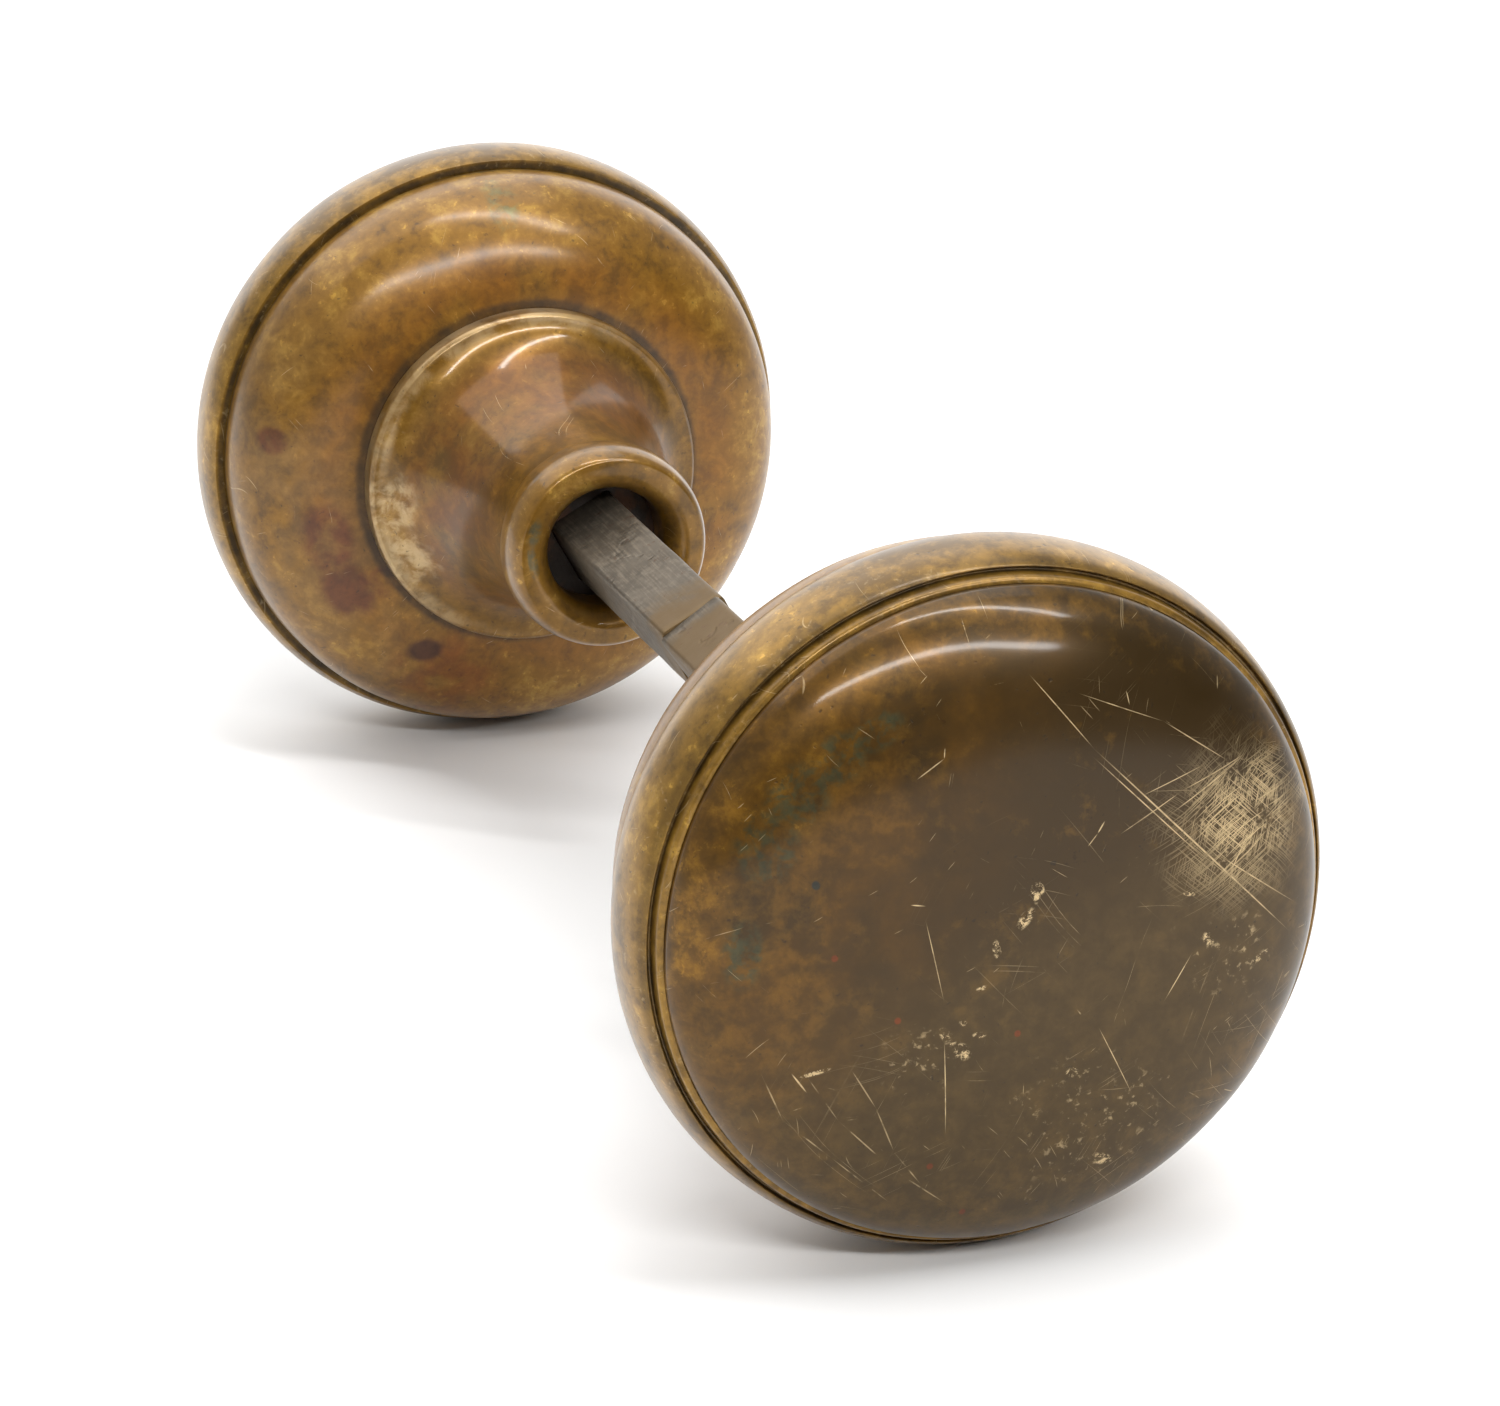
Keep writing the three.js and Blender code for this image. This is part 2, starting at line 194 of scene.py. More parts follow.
class Graph:
    """The nodes of one material. Places and sizes are in millimetres, in the object's own frame."""

    def __init__(self, name):
        self.material = bpy.data.materials.new(name)
        self.material.use_nodes = True
        self.nodes = self.material.node_tree.nodes
        self.links = self.material.node_tree.links
        self.nodes.clear()
        self.shader = self.nodes.new("ShaderNodeBsdfPrincipled")
        output = self.nodes.new("ShaderNodeOutputMaterial")
        self.links.new(self.shader.outputs["BSDF"], output.inputs["Surface"])
        metres = self.nodes.new("ShaderNodeTexCoord").outputs["Object"]
        self.place = self.vector("SCALE", metres, scale=1 / MM)
        self.flat = self.vector("MULTIPLY", self.place, (0, 1, 1))
        self.radius = self.length(self.flat)
        self.station = self.math("ABSOLUTE", self.dot(self.place, (1, 0, 0)))

    def put(self, socket, value):
        if isinstance(value, bpy.types.NodeSocket):
            self.links.new(value, socket)
        else:
            socket.default_value = value

    def make(self, kind, inputs, output=0, **settings):
        node = self.nodes.new("ShaderNode" + kind)
        for key, value in settings.items():
            setattr(node, key, value)
        for key, value in inputs.items():
            self.put(node.inputs[key], value)
        return node.outputs[output]

    def math(self, operation, *values, clamp=False):
        return self.make("Math", dict(enumerate(values)), operation=operation, use_clamp=clamp)

    def vector(self, operation, *values, scale=None):
        inputs = dict(enumerate(values))
        if scale is not None:
            inputs["Scale"] = scale
        return self.make("VectorMath", inputs, operation=operation)

    def dot(self, a, b):
        return self.make("VectorMath", {0: a, 1: b}, "Value", operation="DOT_PRODUCT")

    def length(self, a):
        return self.make("VectorMath", {0: a}, "Value", operation="LENGTH")

    def step(self, value, low, high):
        """0 at low, 1 at high, and smooth between, whichever is larger."""
        inputs = {"Value": value, "From Min": low, "From Max": high}
        return self.make("MapRange", inputs, interpolation_type="SMOOTHSTEP")

    def mix(self, factor, a, b):
        return self.make("Mix", {0: factor, 6: a, 7: b}, 2, data_type="RGBA")

    def either(self, *masks):
        """The strongest of some masks. A long list of them is better given as something that makes them one
        by one, so that each is used up before the next is made."""
        masks = iter(masks[0] if len(masks) == 1 else masks)
        out = next(masks)
        for mask in masks:
            out = self.math("MAXIMUM", out, mask)
        return out

    def both(self, *masks):
        out = masks[0]
        for mask in masks[1:]:
            out = self.math("MULTIPLY", out, mask)
        return out

    def noise(self, size, seed=0.0, detail=4.0, roughness=0.55, distortion=0.0):
        """Cloudy noise about 0.5, with clouds of that size."""
        inputs = {"Vector": self.place, "W": seed, "Scale": 1 / size, "Detail": detail}
        inputs.update({"Roughness": roughness, "Distortion": distortion})
        return self.make("TexNoise", inputs, noise_dimensions="4D")

    def patches(self, size, low, high, seed=0.0, detail=5.0, roughness=0.6):
        """Ragged patches: 0 where the noise is at low, 1 where it is at high."""
        return self.step(self.noise(size, seed, detail, roughness, 0.4), low, high)

    def ticks(self, long, fine, angle, share, seed=0.0, wander=0.0):
        """Fine scratches of that length and width on a face, at an angle in degrees from +Y up to +Z."""
        turn = math.radians(angle)
        along = self.dot(self.place, (0, math.cos(turn), math.sin(turn)))
        across = self.dot(self.place, (0, -math.sin(turn), math.cos(turn)))
        if wander:
            across = self.math("MULTIPLY_ADD", self.noise(18.0, seed, detail=1.0), wander, across)
        cells = self.nodes.new("ShaderNodeTexVoronoi")
        cells.voronoi_dimensions = "2D"
        cells.inputs["Scale"].default_value = 1.0
        place = self.make("CombineXYZ", {0: self.math("MULTIPLY_ADD", along, 0.6 / long, seed),
                                         1: self.math("MULTIPLY", across, 0.6 / fine)})
        self.links.new(place, cells.inputs["Vector"])
        line = self.step(cells.outputs["Distance"], 0.32, 0.16)
        kept = self.math("LESS_THAN", self.make("SeparateColor", {0: cells.outputs["Color"]}), share)
        return self.both(line, kept)

    def drawn(self, stretch, seed):
        """Fine lines left by drawing or turning: noise stretched by that much along X, Y and Z."""
        place = self.vector("DIVIDE", self.place, stretch)
        inputs = {"Vector": place, "W": seed, "Scale": 1.0, "Detail": 3.0}
        return self.make("TexNoise", inputs, noise_dimensions="4D")

    def spin(self, fine, seed):
        """Fine lathe lines round the axis, about 0.5."""
        place = self.make("CombineXYZ", {0: self.station, 1: self.radius})
        place = self.vector("SCALE", place, scale=1 / fine)
        inputs = {"Vector": place, "W": seed, "Scale": 1.0, "Detail": 2.0}
        return self.make("TexNoise", inputs, noise_dimensions="4D")

    def side(self, direction, low, high):
        """0 to 1 across a knob, from one distance to another towards a direction."""
        return self.step(self.dot(self.place, Vector(direction).normalized()), low, high)

    def ring(self, inner, outer, soft):
        """1 between two radii."""
        return self.both(self.step(self.radius, inner - soft, inner + soft),
                         self.step(self.radius, outer + soft, outer - soft))

    def strokes(self, *strokes):
        """Tapering strokes from one (y, z) place on a face to another, each as wide as its third number."""
        out = None
        for start, end, wide in strokes:
            start, end = Vector((0, *start)), Vector((0, *end))
            along = end - start
            inputs = {"Vector": self.flat, "Location": (start + end) / 2}
            inputs["Scale"] = (1, along.length * 0.54, wide)  # a little over half, so that the tips show
            inputs["Rotation"] = (math.atan2(along.z, along.y), 0, 0)
            place = self.make("Mapping", inputs, vector_type="TEXTURE")
            lens = self.make("TexGradient", {"Vector": place}, "Fac", gradient_type="SPHERICAL")
            out = lens if out is None else self.math("MAXIMUM", out, lens)
        return self.step(out, 0.0, 0.45)

    def blob(self, centre, size, ragged=0.9, seed=0.0):
        """A ragged patch round a (y, z) place on a face."""
        away = self.length(self.vector("SUBTRACT", self.flat, Vector((0, *centre))))
        torn = self.math("MULTIPLY_ADD", self.noise(size / 2, seed), -2 * ragged, 1.0 + ragged)
        return self.step(self.math("MULTIPLY", away, torn), size, size * 0.35)

    def band(self, station, radius, wide):
        """A ring round the axis, wide either way of a station and radius."""
        offset = self.make("CombineXYZ", {0: self.math("SUBTRACT", self.station, station),
                                          1: self.math("SUBTRACT", self.radius, radius)})
        return self.step(self.length(offset), wide, wide * 0.25)

    def bumps(self, *layers):
        """Gives the shader the relief of some (mask, height in millimetres) layers."""
        total = None
        for mask, height in layers:
            raised = self.math("MULTIPLY", mask, height)
            total = raised if total is None else self.math("ADD", total, raised)
        inputs = {"Height": total, "Strength": 1.0, "Distance": MM}
        self.put(self.shader.inputs["Normal"], self.make("Bump", inputs))

    def set(self, **values):
        for name, value in values.items():
            self.put(self.shader.inputs[name.replace("_", " ")], value)


BRIGHT_BRASS = srgb(212, 186, 140)
# near-black brown: dirt in the pits, and painted shade in the creases
DIRT_AND_SHADE = srgb(34, 29, 21)
VERDIGRIS = srgb(56, 60, 40)
RUST = srgb(104, 50, 34)


def patina(name, tones, seed, thin, shades=(), creases=(), marks=(), nicks=0.035, rough=0.34,
           coat=0.5, coat_rough=0.11, metal=0.55):
    """Aged brass: clouds of brown over golden metal, painted shade and dirt in the creases, wear and scratches.
    tones are for thick, middling and thin patina. thin is 0 where it is thick to 1 where it is thin, a
    number or a function of the graph, as are the shades' and marks' masks."""
    dark, middle, golden = tones
    g = Graph(name)
    clouds = g.noise(12.0, seed, detail=5.0, roughness=0.6, distortion=0.5)
    mottle = g.noise(1.8, seed + 3, detail=7.0, roughness=0.68, distortion=0.25)
    level = g.math("MULTIPLY_ADD", clouds, 1.5, g.math("MULTIPLY_ADD", mottle, 1.9, -1.7))
    level = g.math("ADD", level, thin(g) if callable(thin) else thin)
    colour = g.mix(g.step(level, 0.1, 0.55), dark, middle)
    colour = g.mix(g.step(level, 0.5, 1.0), colour, golden)
    flecks = g.both(g.patches(0.7, 0.6, 0.68, seed + 11, detail=3.0), g.step(level, 0.35, 0.8))
    colour = g.mix(g.both(flecks, 0.5), colour, tuple(1.7 * c for c in golden[:3]) + (1.0,))
    spots = g.both(g.patches(0.8, 0.63, 0.7, seed + 13, detail=3.0), g.patches(7.0, 0.45, 0.6, seed + 15))
    colour = g.mix(g.both(spots, 0.6), colour, tuple(0.45 * c for c in dark[:3]) + (1.0,))

    for shade, tone, strength in shades:
        uneven_tone = g.mix(g.step(mottle, 0.36, 0.66), tuple(0.8 * c for c in tone[:3]) + (1.0,),
                            tuple(1.24 * c for c in tone[:3]) + (1.0,))
        colour = g.mix(g.both(shade(g), strength), colour, uneven_tone)
    crease_breakup = g.step(g.noise(2.5, seed + 17), 0.3, 0.65)
    # Painted shade and dirt: each crease ring is darkened to a near-black brown where shade falls in it, broken up
    # by noise.
    crease_shade_and_dirt = g.math("MULTIPLY", g.station, 0.0)
    for station, radius, wide, strength in creases:
        line = g.band(station, radius, wide)
        crease_shade_and_dirt = g.either(crease_shade_and_dirt, g.both(line, g.math("MULTIPLY_ADD", crease_breakup, 0.4 * strength, 0.6 * strength)))
    colour = g.mix(crease_shade_and_dirt, colour, DIRT_AND_SHADE)

    bare = g.math("MULTIPLY", g.station, 0.0)
    for long, angle in ((1.6, -52), (0.9, 31), (2.4, 74)):
        scars = g.ticks(long, 0.055, angle, nicks, seed + angle, 20.0)
        bare = g.either(bare, g.both(scars, g.patches(5.0, 0.52, 0.6, seed + angle), 0.5))
    for mark in marks:
        bare = g.either(bare, mark(g))
    pits = g.patches(0.5, 0.69, 0.77, seed + 37, detail=1.0)
    colour = g.mix(g.both(bare, 0.85), colour, BRIGHT_BRASS)
    colour = g.mix(g.both(pits, 0.5), colour, DIRT_AND_SHADE)

    base_rough = g.math("MULTIPLY_ADD", g.noise(3.0, seed + 41), 0.2, rough - 0.1)
    base_rough = g.math("ADD", base_rough, g.math("MULTIPLY", g.either(bare, crease_shade_and_dirt), 0.12))
    g.set(Base_Color=colour, Metallic=g.math("MULTIPLY_ADD", bare, 0.3, metal), Roughness=base_rough)
    g.set(Specular_IOR_Level=0.3, Coat_Weight=coat, Coat_Roughness=coat_rough)
    g.bumps((g.noise(0.6, seed + 43, detail=3.0), 0.006), (g.noise(3.5, seed + 45, detail=2.0), 0.012),
            (pits, -0.01), (g.spin(0.25, seed + 47), 0.0012))
    return g.material


# ---------------------------------------------------------------------- materials: brass, steel and iron

WORN_SPOT = (18.8, 8.0)  # (y, z) on the outside face
WORN_ANGLE = 22  # which way most of its scratches run


def face_marks(g):
    """The scratches and chips that show on the outside face."""
    scratches = [
        ((0.8, 20.8), (5.7, 14.7), 0.05), ((5.7, 14.7), (22.9, -2.7), 0.085),
        ((5.7, 14.0), (15.2, 4.5), 0.055),
        ((4.7, 19.0), (11.6, 16.0), 0.04), ((11.6, 16.0), (17.1, 12.1), 0.05),
        ((7.7, 7.9), (13.0, 10.5), 0.05), ((13.0, 10.5), (18.8, 12.3), 0.06),
        ((11.9, 8.8), (18.8, 12.3), 0.06), ((9.5, 10.6), (15.0, 12.2), 0.045),
        ((16.0, 5.0), (23.4, -0.5), 0.06), ((17.1, 3.1), (19.0, 6.4), 0.06),
        ((-8.5, 13.9), (-6.3, 15.3), 0.06), ((-6.3, 15.3), (-6.2, 16.1), 0.05),
        ((6.4, 9.1), (5.8, 8.2), 0.07), ((5.8, 8.2), (5.0, 7.3), 0.05),
        ((-8.0, 2.9), (-6.5, -3.8), 0.045), ((-6.4, -6.9), (-5.9, -15.0), 0.05),
        ((-9.2, 4.3), (-8.0, 4.1), 0.06),
        ((-18.0, -8.8), (-16.8, -10.5), 0.08),
        ((6.2, -7.6), (9.4, -13.8), 0.045), ((14.0, -2.7), (11.7, -6.4), 0.05),
        ((16.9, 18.4), (16.7, 17.4), 0.07), ((8.6, 18.7), (8.8, 17.6), 0.05),
    ]
    sweeps = [
        [(-20.2, -8.8), (-18.4, -12.9), (-14.5, -16.5), (-9.7, -21.0)],
        [(-16.8, -9.2), (-14.3, -13.1), (-9.6, -18.0), (-5.3, -21.5)],
        [(-13.5, -8.8), (-11.5, -12.2), (-9.8, -16.3), (-7.5, -19.4)],
    ]
    broken = g.math("MULTIPLY_ADD", g.step(g.noise(1.4, 53.0, detail=3.0), 0.34, 0.56), 0.6, 0.4)
    lines = g.both(g.strokes(*scratches), broken)
    curved = g.strokes(*((a, b, 0.065) for sweep in sweeps for a, b in zip(sweep, sweep[1:])))
    curved = g.both(curved, g.step(g.noise(2.4, 55.0), 0.42, 0.56), 0.5)
    chips = [
        ((0.7, 5.1), (0.8, 3.2), 0.45), ((0.6, 3.0), (-0.7, 1.3), 0.55), ((-6.8, -5.9), (-5.5, -7.6), 0.5),
        ((-5.6, -7.5), (-4.3, -8.7), 0.75), ((-5.2, -5.4), (-4.7, -5.9), 0.35),
        ((-4.2, -6.8), (-3.0, -6.9), 0.3),
        ((-2.5, 0.8), (-2.2, -0.8), 0.4), ((-4.0, -3.1), (-2.9, -2.9), 0.22),
        ((-17.5, -9.2), (-15.0, -8.5), 0.22),
        ((15.0, -1.2), (15.8, -2.4), 0.5), ((19.3, -4.8), (21.3, -3.9), 0.35),
        ((13.0, 2.4), (14.2, 2.1), 0.25),
        ((6.0, -19.0), (8.5, -19.8), 0.6), ((3.6, -11.1), (4.8, -11.1), 0.5), ((1.1, 5.0), (1.3, 3.9), 0.3),
    ]
    torn = g.step(g.noise(0.7, 59.0, detail=7.0, roughness=0.8, distortion=1.2), 0.5, 0.55)
    flakes = g.both(g.strokes(*chips), torn)
    specks = g.strokes(((0.9, 26.7), (1.3, 26.75), 0.25), ((12.1, 23.5), (12.5, 23.7), 0.2))
    return g.either(lines, curved, flakes, specks)


def hairlines(g):
    """Long faint scratches in a few directions."""
    fans = [(14.0, 0.045, -47, 0.035), (9.0, 0.04, 24, 0.025), (10.0, 0.04, 66, 0.03), (6.0, 0.05, -12, 0.02)]
    lines = g.either(g.ticks(long, fine, angle, share, angle + 3.0, 6.0) for long, fine, angle, share in fans)
    return g.both(lines, g.patches(4.0, 0.45, 0.6, 63.0), g.side((0, 1, -0.8), -14.0, 6.0), 0.4)


def worn_patch(g):
    """The rubbed patch near the outside face's edge, a mat of fine scratches."""
    centre = g.blob(WORN_SPOT, 6.2, 0.7, 61.0)
    around = g.blob((17.6, 7.2), 8.5, 0.45, 62.0)
    mats = [g.ticks(long, fine, angle, 0.6, angle, 8.0) for long, fine, angle in
            ((4.6, 0.075, WORN_ANGLE), (2.6, 0.055, WORN_ANGLE + 9), (3.4, 0.06, -44))]
    cross = g.ticks(2.0, 0.05, 74, 0.5, 11.0)
    ground = g.both(g.patches(0.4, 0.5, 0.64, 67.0, detail=6.0), centre, 0.6)
    mat = g.both(g.either(*mats, cross), g.either(centre, g.both(around, 0.45)))
    return g.either(mat, ground)


def rubbed_low(g):
    """Faint golden rubbing low on the face."""
    places = g.either(g.blob((6.0, -15.5), 7.0, 1.2, 68.0), g.blob((-8.0, -8.2), 3.6, 1.0, 69.0),
                      g.blob((17.5, -3.0), 4.5, 1.2, 70.0))
    return g.both(places, g.patches(0.7, 0.56, 0.68, 65.0, detail=5.0), 0.45)


def outside_face_patina():
    def thin(g):
        left = g.side((0, -1, 0.25), 4.0, 20.0)
        edge = g.step(g.radius, 20.0, 26.0)
        return g.math("MULTIPLY_ADD", left, 0.22, g.math("MULTIPLY_ADD", edge, 0.25, 0.0))

    def orange(g):
        return g.both(g.side((0, -1, 0.55), 2.0, 17.0), g.patches(6.0, 0.32, 0.62, 74.0))

    # Painted reflection: the lower part of the face is tinted a paler, greyer brown, as where it mirrors the
    # floor.
    def low(g):
        return g.side((0, 0.35, -1), -6.0, 5.0)

    def verdigris(g):
        stripe = g.strokes(((-20.9, 6.3), (-18.7, 12.4), 2.8), ((-19.4, 11.0), (-15.2, 15.2), 2.6),
                           ((-16.4, 14.2), (-12.0, 17.4), 2.1), ((-13.5, 16.4), (-9.0, 18.8), 1.6),
                           ((-22.0, -2.0), (-21.4, 4.0), 1.8))
        return g.both(stripe, g.patches(1.0, 0.42, 0.6, 73.0, detail=7.0))

    def red(g):
        places = [(-10.1, -5.0), (-0.5, -7.2), (-6.9, -17.9), (-3.7, -22.7), (-15.0, 0.5)]
        return g.strokes(*(((y - 0.3, z), (y + 0.3, z + 0.1), 0.35) for y, z in places))

    def blue(g):
        return g.strokes(((-16.7, 6.3), (-16.0, 6.5), 0.45))

    return patina(
        "outside_face_patina", (srgb(56, 40, 13), srgb(86, 61, 18), srgb(144, 104, 32)), 1.0, thin,
        shades=((low, srgb(76, 59, 30), 0.65), (orange, srgb(98, 65, 10), 0.5), (verdigris, VERDIGRIS, 0.75),
                (red, srgb(112, 50, 20), 0.7), (blue, srgb(30, 40, 38), 0.8)),
        # painted shade and dirt along the seam where the bezel's lip meets the dome
        creases=((70.55, 26.5, 0.16, 0.3),),
        marks=(face_marks, hairlines, worn_patch, rubbed_low), nicks=0.015, coat=0.3,
    )


def inside_face_patina():
    def rubbed(g):
        mat = g.either(g.ticks(3.0, 0.06, 65, 0.5, 83.0), g.ticks(2.6, 0.06, 22, 0.4, 84.0))
        return g.both(g.blob((-9.0, 12.0), 13.0, 0.35, 79.0), mat, 0.22)

    def thin(g):
        return g.math("MULTIPLY_ADD", g.step(g.radius, 14.0, 25.0), 0.3, 0.15)

    return patina(
        "inside_face_patina", (srgb(72, 54, 24), srgb(104, 76, 30), srgb(150, 110, 42)), 101.0, thin,
        # painted shade and dirt along the seam where the bezel's lip meets the dome
        creases=((70.55, 26.5, 0.16, 0.3),), marks=(hairlines, rubbed),
    )


def rim_patina(name, seed):
    def rubbed(g):
        fine = g.both(g.patches(0.6, 0.55, 0.7, seed + 5, detail=5.0), g.patches(5.0, 0.45, 0.6, seed + 6))
        return g.both(fine, 0.3)

    def red(g):
        return g.both(g.patches(1.1, 0.68, 0.73, seed + 7), g.patches(9.0, 0.5, 0.62, seed + 9))

    return patina(
        name, (srgb(98, 72, 26), srgb(136, 102, 38), srgb(178, 138, 58)), seed, 0.4,
        shades=((red, srgb(124, 60, 30), 0.7),),
        # Painted shade and dirt in the crease before the bezel's lip and in the back crease; the wide soft band on
        # the bead's inner side is painted shade alone.
        creases=((69.15, 27.25, 0.42, 0.7), (69.1, 27.6, 1.0, 0.4), (61.9, 27.4, 0.55, 0.85)),
        marks=(rubbed,), coat=0.35, coat_rough=0.2,
    )


def back_patina(name, seed, shades=(), marks=()):
    def thin(g):
        return g.math("MULTIPLY_ADD", g.step(g.radius, 18.0, 24.5), 0.25, 0.3)

    # Painted shade and bounced light: the hollow round the collar is tinted a deep orange-brown.
    def painted_cove_shade(g):
        return g.both(g.ring(16.0, 21.5, 2.5), g.patches(9.0, 0.3, 0.6, seed + 4))

    return patina(
        name, (srgb(90, 62, 15), srgb(126, 88, 21), srgb(160, 122, 46)), seed, thin,
        shades=((painted_cove_shade, srgb(120, 74, 6), 0.7), *shades),
        # Painted shade and dirt in the creases at the rim and round the collar's foot.
        creases=((61.9, 27.3, 0.9, 0.75), (51.9, 16.3, 0.9, 0.75)), marks=marks, nicks=0.015, rough=0.4,
        coat=0.5, coat_rough=0.2, metal=0.35,
    )


def inside_back_patina():
    def red(g):
        streak = g.strokes(((-20.4, -1.0), (-18.6, -9.0), 2.9), ((-19.4, -7.0), (-15.8, -13.5), 2.9),
                           ((-15.4, -8.0), (-13.2, -11.0), 2.0), ((-24.3, 3.0), (-23.8, 6.0), 1.6))
        return g.both(streak, g.patches(4.0, 0.3, 0.55, 127.0))

    def dark_spot(g):
        return g.strokes(((-12.2, -17.0), (-8.3, -17.0), 1.5))

    def below(g):
        return g.both(g.blob((-8.0, -20.5), 7.0, 1.0, 129.0), g.patches(3.0, 0.35, 0.6, 130.0))

    def greenish(g):
        return g.both(g.blob((-1.0, 25.2), 2.2, 0.8, 131.0), g.patches(1.2, 0.4, 0.6, 132.0))

    def grey(g):
        return g.both(g.side((0, -1, -0.3), 8.0, 22.0), g.patches(6.0, 0.35, 0.6, 133.0))

    return back_patina("inside_back_patina", 113.0, shades=(
        (grey, srgb(114, 85, 44), 0.6), (red, srgb(80, 34, 16), 0.75), (below, srgb(112, 58, 14), 0.6),
        (dark_spot, srgb(52, 24, 16), 0.85), (greenish, srgb(96, 104, 66), 0.6),
    ))


def shank_patina(name, seed, shades=(), marks=()):
    # Painted shade and bounced light: the hollow of the flare is tinted a deep orange-brown.
    def painted_cove_shade(g):
        place = g.ring(8.6, 13.0, 1.2)
        return g.both(place, g.step(g.station, 33.0, 36.0), g.patches(7.0, 0.3, 0.6, seed + 4))

    return patina(
        name, (srgb(92, 65, 18), srgb(124, 88, 26), srgb(160, 124, 54)), seed, 0.4,
        shades=((painted_cove_shade, srgb(112, 66, 4), 0.8), *shades),
        # Painted shade and dirt in the creases by the collar and under the lip, and at the mouth of the bore.
        creases=((50.0, 15.7, 0.3, 0.3), (31.4, 8.2, 0.6, 0.6), (26.4, 6.6, 0.9, 0.4)), marks=marks,
        nicks=0.015, rough=0.32, coat=0.6, coat_rough=0.12, metal=0.45,
    )


def inside_shank_patina():
    def collar(g):
        place = g.either(g.blob((-15.0, -1.5), 4.2, 1.0, 64.0), g.blob((-13.2, -7.0), 3.6, 1.0, 65.0))
        return g.both(place, g.step(g.radius, 11.5, 12.6), g.patches(1.6, 0.35, 0.6, 66.0, detail=5.0), 0.7)

    def edge(g):
        place = g.ring(14.8, 16.4, 0.5)
        return g.both(place, g.side((0, -1, 0.5), -6.0, 6.0), g.patches(3.0, 0.35, 0.6, 68.0), 0.5)

    def mark(g):
        stroke = g.strokes(((-6.9, 4.0), (-7.9, 0.8), 0.8), ((-7.9, 1.8), (-7.1, -2.4), 0.6))
        return g.both(stroke, g.patches(1.0, 0.35, 0.6, 67.0), g.step(g.station, 30.0, 28.0))

    shades = ((mark, srgb(70, 78, 60), 0.7),)
    return shank_patina("inside_shank_patina", 63.0, shades=shades, marks=(collar, edge))


def steel(name, grey, brown, rust, seed, browning, rough=0.42):
    """Dull steel: grey, browned where browning(g) says, with drawing lines along X and rust freckles."""
    g = Graph(name)
    clouds = g.noise(5.0, seed, detail=6.0, roughness=0.65)
    lines = g.drawn((4.0, 0.2, 0.2), seed + 3)
    fine = g.noise(0.8, seed + 4, detail=5.0, roughness=0.7)
    pale, deep = (tuple(k * c for c in grey[:3]) + (1.0,) for k in (1.4, 0.62))
    colour = g.mix(g.step(clouds, 0.3, 0.7), deep, grey)
    colour = g.mix(g.step(g.math("ADD", lines, fine), 0.9, 1.3), colour, pale)
    tarnish = g.math("MULTIPLY_ADD", g.math("SUBTRACT", clouds, 0.5), 1.4, browning(g), clamp=True)
    tarnish = g.math("MULTIPLY_ADD", g.math("SUBTRACT", fine, 0.5), 0.6, tarnish, clamp=True)
    colour = g.mix(g.step(tarnish, 0.2, 0.8), colour, brown)
    spots = g.both(g.patches(0.9, 0.6, 0.68, seed + 5, detail=3.0), g.patches(5.0, 0.45, 0.6, seed + 9))
    colour = g.mix(g.both(spots, 0.8), colour, rust)
    dents = g.patches(2.2, 0.58, 0.68, seed + 15, detail=2.0)
    roughness = g.math("MULTIPLY_ADD", g.noise(1.5, seed + 13), 0.25, rough - 0.12)
    g.set(Base_Color=colour, Metallic=g.math("MULTIPLY_ADD", g.both(spots, tarnish), -0.4, 0.7))
    g.set(Roughness=roughness)
    g.bumps((fine, 0.02), (lines, 0.003), (spots, -0.01), (dents, -0.04))
    return g.material


def spindle_steel(name, seed, brown_from, brown_to):
    """The bar, grey at one station and brown at another."""
    def browning(g):
        return g.step(g.dot(g.place, (1, 0, 0)), brown_from, brown_to)

    return steel(name, srgb(106, 98, 86), srgb(104, 84, 54), srgb(84, 52, 32), seed, browning)


def plain_steel(name, seed, grey=srgb(84, 80, 74)):
    return steel(name, grey, srgb(88, 68, 48), RUST, seed, lambda g: g.patches(8.0, 0.5, 0.7, seed + 2))


def iron():
    g = Graph("core_iron")
    sand = g.noise(0.5, 131.0, detail=4.0, roughness=0.7)
    scale = g.patches(3.0, 0.45, 0.65, 133.0)
    g.set(Base_Color=g.mix(scale, srgb(58, 52, 48), srgb(86, 60, 44)), Metallic=0.6)
    g.set(Roughness=g.math("MULTIPLY_ADD", sand, 0.3, 0.5))
    g.bumps((sand, 0.08))
    return g.material


# -------------------------------------------------------------------------------------------- knob pieces

FLANGE_BACK, FACE_TOP, FLANGE_RADIUS = reach("outside_face_shell")
RIM_BACK, BEZEL_TOP, KNOB_RADIUS = reach("outside_rim_bezel")
BACK_START, WALL_END, SHOULDER_RADIUS = reach("outside_back_shell")
LIP_END, TAIL_END, COLLAR_RADIUS = reach("outside_shank")
CUP_BACK, CUP_WEB, CUP_RADIUS = reach("outside_stiffener_cup")
WASHER_BACK, WASHER_FRONT, WASHER_RADIUS = reach("outside_backing_washer")
CORE_FRONT, CORE_END, CORE_RADIUS = reach("outside_square_core")

